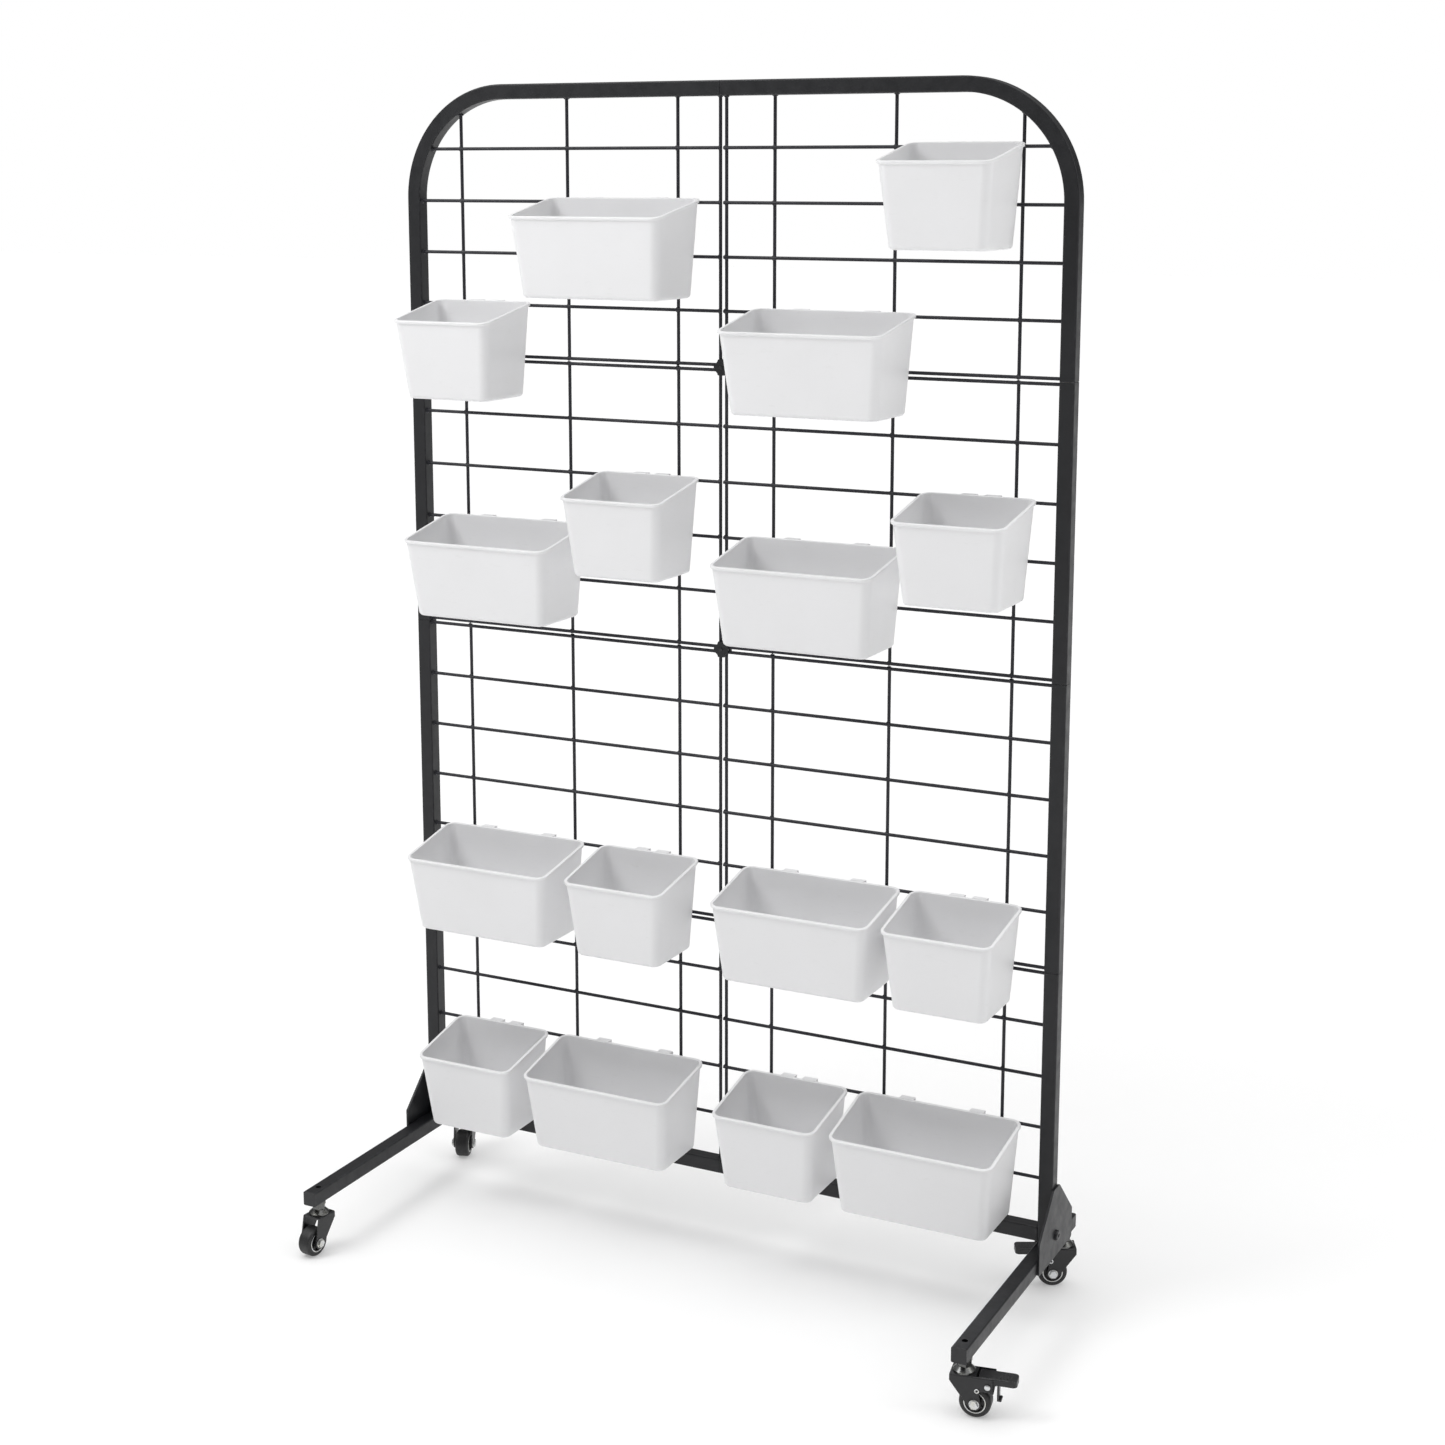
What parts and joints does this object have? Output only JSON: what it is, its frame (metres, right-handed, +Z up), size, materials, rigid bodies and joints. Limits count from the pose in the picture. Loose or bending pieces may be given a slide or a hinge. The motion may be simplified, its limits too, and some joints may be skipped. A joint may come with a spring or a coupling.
{
  "type": "wire grid display stand",
  "caption": "Mobile wire-grid display stand: bent square-tube frame, welded wire panels, hanging plastic bins, two floor legs on swivel casters.",
  "frame": {"origin": "on the floor, below the middle of the grid's plane", "axes": "+Z up, +X to the right of someone facing the bins, -Y the front, where the bins hang and the legs reach further out"},
  "size_m": [1.046, 0.4305, 1.604],
  "materials": {
    "frame_powder_coat": "charcoal powder coat with a fine texture",
    "wire_powder_coat": "black powder coat over welded wire",
    "bin_plastic": "white moulded polypropylene, satin",
    "tyre_polyurethane": "black polyurethane tread, satin",
    "hub_plastic": "black moulded core",
    "zinc_steel": "bright zinc plating",
    "black_pressed_steel": "black coated pressed steel",
    "black_fastener": "black oxide",
    "end_cap_plastic": "charcoal moulded plastic",
    "sleeve_steel": "bare steel"
  },
  "bodies": {
    "stand": {"caster_stems": "zinc_steel", "frame_tube_row1_left": "frame_powder_coat", "frame_tube_row1_right": "frame_powder_coat", "frame_tube_row2_left": "frame_powder_coat", "frame_tube_row2_right": "frame_powder_coat", "frame_tube_row3_left": "frame_powder_coat", "frame_tube_row3_right": "frame_powder_coat", "frame_tube_row4_left": "frame_powder_coat", "frame_tube_row4_right": "frame_powder_coat", "gusset_bolts": "black_fastener", "gusset_plate_left": "frame_powder_coat", "gusset_plate_right": "frame_powder_coat", "leg_end_caps": "end_cap_plastic", "leg_tube_left": "frame_powder_coat", "leg_tube_right": "frame_powder_coat", "mesh_panel_row1_left": "wire_powder_coat", "mesh_panel_row1_right": "wire_powder_coat", "mesh_panel_row2_left": "wire_powder_coat", "mesh_panel_row2_right": "wire_powder_coat", "mesh_panel_row3_left": "wire_powder_coat", "mesh_panel_row3_right": "wire_powder_coat", "mesh_panel_row4_left": "wire_powder_coat", "mesh_panel_row4_right": "wire_powder_coat", "section_joint_sleeves": "sleeve_steel", "star_clamp_plates": "frame_powder_coat", "star_clamp_screws": "black_fastener"},
    "caster_front_left": {"caster_fork_front_left": "black_pressed_steel", "caster_axle_front_left": "zinc_steel"},
    "wheel_front_left": {"caster_tyre_front_left": "tyre_polyurethane", "caster_hub_front_left": "hub_plastic"},
    "caster_front_right": {"caster_fork_front_right": "black_pressed_steel", "caster_axle_front_right": "zinc_steel"},
    "wheel_front_right": {"caster_tyre_front_right": "tyre_polyurethane", "caster_hub_front_right": "hub_plastic"},
    "pedal_front_right": {"brake_pedal_front_right": "black_pressed_steel"},
    "caster_rear_left": {"caster_fork_rear_left": "black_pressed_steel", "caster_axle_rear_left": "zinc_steel"},
    "wheel_rear_left": {"caster_tyre_rear_left": "tyre_polyurethane", "caster_hub_rear_left": "hub_plastic"},
    "caster_rear_right": {"caster_fork_rear_right": "black_pressed_steel", "caster_axle_rear_right": "zinc_steel"},
    "wheel_rear_right": {"caster_tyre_rear_right": "tyre_polyurethane", "caster_hub_rear_right": "hub_plastic"},
    "pedal_rear_right": {"brake_pedal_rear_right": "black_pressed_steel"},
    "bin_01": {"bin_01_small": "bin_plastic"},
    "bin_02": {"bin_02_wide": "bin_plastic"},
    "bin_03": {"bin_03_small": "bin_plastic"},
    "bin_04": {"bin_04_wide": "bin_plastic"},
    "bin_05": {"bin_05_wide": "bin_plastic"},
    "bin_06": {"bin_06_small": "bin_plastic"},
    "bin_07": {"bin_07_wide": "bin_plastic"},
    "bin_08": {"bin_08_small": "bin_plastic"},
    "bin_09": {"bin_09_wide": "bin_plastic"},
    "bin_10": {"bin_10_small": "bin_plastic"},
    "bin_11": {"bin_11_wide": "bin_plastic"},
    "bin_12": {"bin_12_small": "bin_plastic"},
    "bin_13": {"bin_13_small": "bin_plastic"},
    "bin_14": {"bin_14_wide": "bin_plastic"},
    "bin_15": {"bin_15_small": "bin_plastic"},
    "bin_16": {"bin_16_wide": "bin_plastic"}
  },
  "joints": [
    {"name": "swivel_front_left", "type": "hinge", "parent": "stand", "child": "caster_front_left", "pos_m": [-0.48, -0.301, 0.056], "axis": [0, 0, 1], "continuous": true},
    {"name": "wheel_spin_front_left", "type": "hinge", "parent": "caster_front_left", "child": "wheel_front_left", "pos_m": [-0.48157, -0.31592, 0.02], "axis": [0.9945, -0.1045, 0], "continuous": true},
    {"name": "swivel_front_right", "type": "hinge", "parent": "stand", "child": "caster_front_right", "pos_m": [0.48, -0.301, 0.056], "axis": [0, 0, 1], "continuous": true},
    {"name": "wheel_spin_front_right", "type": "hinge", "parent": "caster_front_right", "child": "wheel_front_right", "pos_m": [0.49477, -0.2984, 0.02], "axis": [-0.1736, 0.9848, 0], "continuous": true},
    {"name": "brake_front_right", "type": "hinge", "parent": "caster_front_right", "child": "pedal_front_right", "pos_m": [0.51053, -0.29562, 0.045], "axis": [-0.1736, 0.9848, 0], "range_deg": [0, 9]},
    {"name": "swivel_rear_left", "type": "hinge", "parent": "stand", "child": "caster_rear_left", "pos_m": [-0.48, 0.073, 0.056], "axis": [0, 0, 1], "continuous": true},
    {"name": "wheel_spin_rear_left", "type": "hinge", "parent": "caster_rear_left", "child": "wheel_rear_left", "pos_m": [-0.47487, 0.0589, 0.02], "axis": [0.9397, 0.342, 0], "continuous": true},
    {"name": "swivel_rear_right", "type": "hinge", "parent": "stand", "child": "caster_rear_right", "pos_m": [0.48, 0.073, 0.056], "axis": [0, 0, 1], "continuous": true},
    {"name": "wheel_spin_rear_right", "type": "hinge", "parent": "caster_rear_right", "child": "wheel_rear_right", "pos_m": [0.46664, 0.06619, 0.02], "axis": [0.454, -0.891, 0], "continuous": true},
    {"name": "brake_rear_right", "type": "hinge", "parent": "caster_rear_right", "child": "pedal_rear_right", "pos_m": [0.45238, 0.05893, 0.045], "axis": [0.454, -0.891, 0], "range_deg": [0, 9]},
    {"name": "bin_01_lift", "type": "slide", "parent": "stand", "child": "bin_01", "axis": [0, 0, 1], "range_m": [0, 0.03]},
    {"name": "bin_02_lift", "type": "slide", "parent": "stand", "child": "bin_02", "axis": [0, 0, 1], "range_m": [0, 0.03]},
    {"name": "bin_03_lift", "type": "slide", "parent": "stand", "child": "bin_03", "axis": [0, 0, 1], "range_m": [0, 0.03]},
    {"name": "bin_04_lift", "type": "slide", "parent": "stand", "child": "bin_04", "axis": [0, 0, 1], "range_m": [0, 0.03]},
    {"name": "bin_05_lift", "type": "slide", "parent": "stand", "child": "bin_05", "axis": [0, 0, 1], "range_m": [0, 0.03]},
    {"name": "bin_06_lift", "type": "slide", "parent": "stand", "child": "bin_06", "axis": [0, 0, 1], "range_m": [0, 0.03]},
    {"name": "bin_07_lift", "type": "slide", "parent": "stand", "child": "bin_07", "axis": [0, 0, 1], "range_m": [0, 0.03]},
    {"name": "bin_08_lift", "type": "slide", "parent": "stand", "child": "bin_08", "axis": [0, 0, 1], "range_m": [0, 0.03]},
    {"name": "bin_09_lift", "type": "slide", "parent": "stand", "child": "bin_09", "axis": [0, 0, 1], "range_m": [0, 0.03]},
    {"name": "bin_10_lift", "type": "slide", "parent": "stand", "child": "bin_10", "axis": [0, 0, 1], "range_m": [0, 0.03]},
    {"name": "bin_11_lift", "type": "slide", "parent": "stand", "child": "bin_11", "axis": [0, 0, 1], "range_m": [0, 0.03]},
    {"name": "bin_12_lift", "type": "slide", "parent": "stand", "child": "bin_12", "axis": [0, 0, 1], "range_m": [0, 0.03]},
    {"name": "bin_13_lift", "type": "slide", "parent": "stand", "child": "bin_13", "axis": [0, 0, 1], "range_m": [0, 0.03]},
    {"name": "bin_14_lift", "type": "slide", "parent": "stand", "child": "bin_14", "axis": [0, 0, 1], "range_m": [0, 0.03]},
    {"name": "bin_15_lift", "type": "slide", "parent": "stand", "child": "bin_15", "axis": [0, 0, 1], "range_m": [0, 0.03]},
    {"name": "bin_16_lift", "type": "slide", "parent": "stand", "child": "bin_16", "axis": [0, 0, 1], "range_m": [0, 0.03]}
  ]
}
